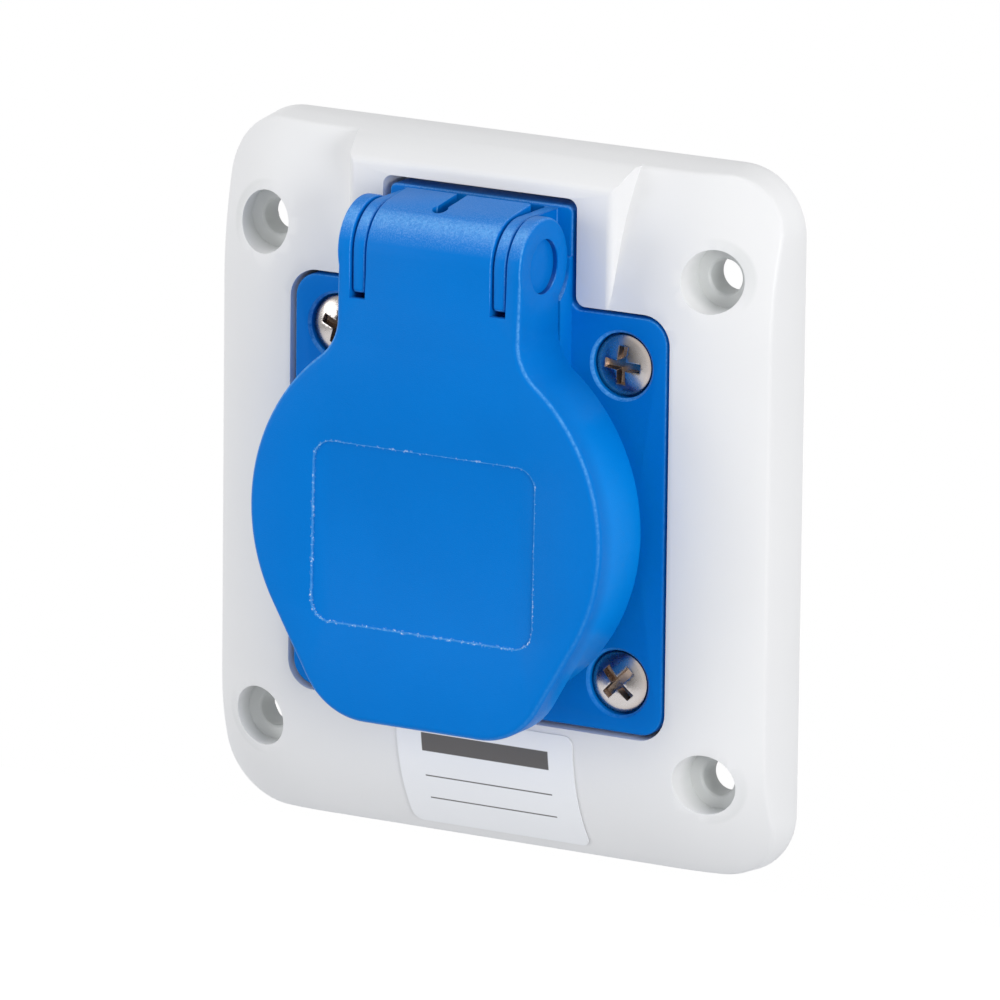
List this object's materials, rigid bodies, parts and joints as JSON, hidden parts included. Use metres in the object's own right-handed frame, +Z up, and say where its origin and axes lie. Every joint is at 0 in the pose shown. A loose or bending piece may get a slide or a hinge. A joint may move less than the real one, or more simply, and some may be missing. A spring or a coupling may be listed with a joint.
{
  "type": "industrial panel socket",
  "caption": "Panel-mount mains socket: a pillow-fronted flange plate, a round plug well behind a sprung hinged lid, and screw terminals at the rear.",
  "frame": {"origin": "centre of the four panel screws, on the back faces of their bosses, 2.3 mm in front of the plate's rim", "axes": "+Z up towards the hinge, -Y out of the socket's front, +X to the right seen from the front"},
  "size_m": [0.075, 0.0485, 0.085],
  "materials": {
    "plate_plastic": "fine satin, light grey",
    "blue_plastic": "satin, signal blue",
    "gasket_rubber": "soft, black",
    "screw_steel": "nickel plated",
    "insert_plastic": "plain moulding, grey",
    "contact_brass": "turned",
    "spring_steel": "drawn wire",
    "label_film": "silvery white film"
  },
  "bodies": {
    "socket": {"flange_plate": "plate_plastic", "panel_gasket": "gasket_rubber", "flange_gasket": "gasket_rubber", "socket_housing": "blue_plastic", "flange_screws": "screw_steel", "contact_insert": "insert_plastic", "line_contact": "contact_brass", "neutral_contact": "contact_brass", "contact_springs": "spring_steel", "earth_clip": "contact_brass", "earth_terminal": "contact_brass", "terminal_screws": "screw_steel", "contact_carrier": "insert_plastic", "carrier_screw": "screw_steel", "blank_label": "label_film", "lid_spring": "spring_steel"},
    "lid_assembly": {"lid": "blue_plastic", "lid_seal": "gasket_rubber", "hinge_pin": "spring_steel", "hinge_caps": "blue_plastic"}
  },
  "joints": [
    {"name": "lid_hinge", "type": "hinge", "parent": "socket", "child": "lid_assembly", "pos_m": [0, -0.01455, 0.0312], "axis": [-1, 0, 0], "range_deg": [0, 110], "stiffness_Nm_per_rad": 0.03, "springref_deg": -45.84, "deforming": ["lid_spring"]}
  ]
}
